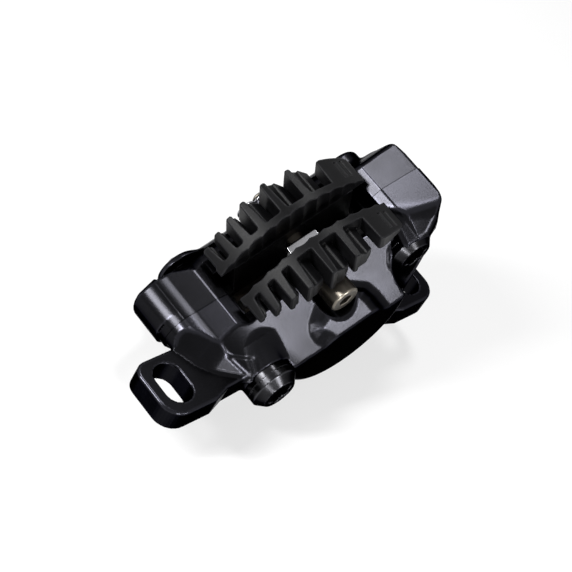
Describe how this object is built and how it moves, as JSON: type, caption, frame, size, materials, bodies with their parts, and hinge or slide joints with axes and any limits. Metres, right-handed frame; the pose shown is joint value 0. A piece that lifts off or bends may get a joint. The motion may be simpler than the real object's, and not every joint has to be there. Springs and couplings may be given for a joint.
{
  "type": "bicycle disc brake caliper",
  "caption": "Post-mount disc brake caliper for a bicycle with slotted ears, finned pads on an axle, opposed pistons and a split bolted body.",
  "frame": {"origin": "on the rotor plane, midway between the two ear slots, at the height of the ears' undersides", "axes": "+X along the row of the two ear slots, towards the end with the hose port; +Y across the rotor towards the wheel (inboard); +Z along the mounting bolts, away from the frame or adapter"},
  "size_m": [0.086, 0.0407, 0.0473],
  "materials": {
    "forged_body": "satin black anodised forged aluminium",
    "black_steel": "gloss black coated steel",
    "seal_rubber": "matt black rubber",
    "piston_ceramic": "smooth off-white ceramic",
    "titanium_grey": "warm grey turned metal",
    "bright_steel": "bright stainless steel",
    "pad_steel": "stamped steel, grey",
    "pad_lining": "rough sintered friction material",
    "radiator_alloy": "matt dark grey cast aluminium",
    "cap_rubber": "satin black rubber"
  },
  "bodies": {
    "housing": {"outboard_body": "forged_body", "inboard_body": "forged_body", "body_bolt_left": "black_steel", "body_bolt_right": "black_steel", "body_bolt_washers": "black_steel", "seal_outboard_left": "seal_rubber", "seal_outboard_right": "seal_rubber", "seal_inboard_left": "seal_rubber", "seal_inboard_right": "seal_rubber", "crossover_o_ring": "seal_rubber", "passage_plug": "bright_steel", "pad_axle": "titanium_grey", "axle_clip": "bright_steel", "pad_spring": "bright_steel"},
    "outboard_pad": {"outboard_backing_plate": "pad_steel", "outboard_lining": "pad_lining", "outboard_radiator": "radiator_alloy", "outboard_rivets": "bright_steel"},
    "inboard_pad": {"inboard_backing_plate": "pad_steel", "inboard_lining": "pad_lining", "inboard_radiator": "radiator_alloy", "inboard_rivets": "bright_steel"},
    "piston_outboard_left": {"piston_outboard_left": "piston_ceramic"},
    "piston_outboard_right": {"piston_outboard_right": "piston_ceramic"},
    "piston_inboard_left": {"piston_inboard_left": "piston_ceramic"},
    "piston_inboard_right": {"piston_inboard_right": "piston_ceramic"},
    "bleed_screw": {"bleed_nipple": "bright_steel", "bleed_cap": "cap_rubber"}
  },
  "joints": [
    {"name": "outboard_pad_slide", "type": "slide", "parent": "housing", "child": "outboard_pad", "axis": [0, 1, 0], "range_m": [0, 0.001]},
    {"name": "inboard_pad_slide", "type": "slide", "parent": "housing", "child": "inboard_pad", "axis": [0, -1, 0], "range_m": [0, 0.001]},
    {"name": "piston_outboard_left_slide", "type": "slide", "parent": "housing", "child": "piston_outboard_left", "axis": [0, 1, 0], "range_m": [0, 0.001]},
    {"name": "piston_outboard_right_slide", "type": "slide", "parent": "housing", "child": "piston_outboard_right", "axis": [0, 1, 0], "range_m": [0, 0.001]},
    {"name": "piston_inboard_left_slide", "type": "slide", "parent": "housing", "child": "piston_inboard_left", "axis": [0, -1, 0], "range_m": [0, 0.001]},
    {"name": "piston_inboard_right_slide", "type": "slide", "parent": "housing", "child": "piston_inboard_right", "axis": [0, -1, 0], "range_m": [0, 0.001]},
    {"name": "bleed_turn", "type": "hinge", "parent": "housing", "child": "bleed_screw", "pos_m": [0.03722, 0.0126, 0.01764], "axis": [0, 1, 0], "range_deg": [0, 90]}
  ],
  "couplings": [
    {"joint": "inboard_pad_slide", "follows": "outboard_pad_slide", "ratio": 1},
    {"joint": "piston_outboard_left_slide", "follows": "outboard_pad_slide", "ratio": 1},
    {"joint": "piston_outboard_right_slide", "follows": "outboard_pad_slide", "ratio": 1},
    {"joint": "piston_inboard_left_slide", "follows": "outboard_pad_slide", "ratio": 1},
    {"joint": "piston_inboard_right_slide", "follows": "outboard_pad_slide", "ratio": 1}
  ]
}
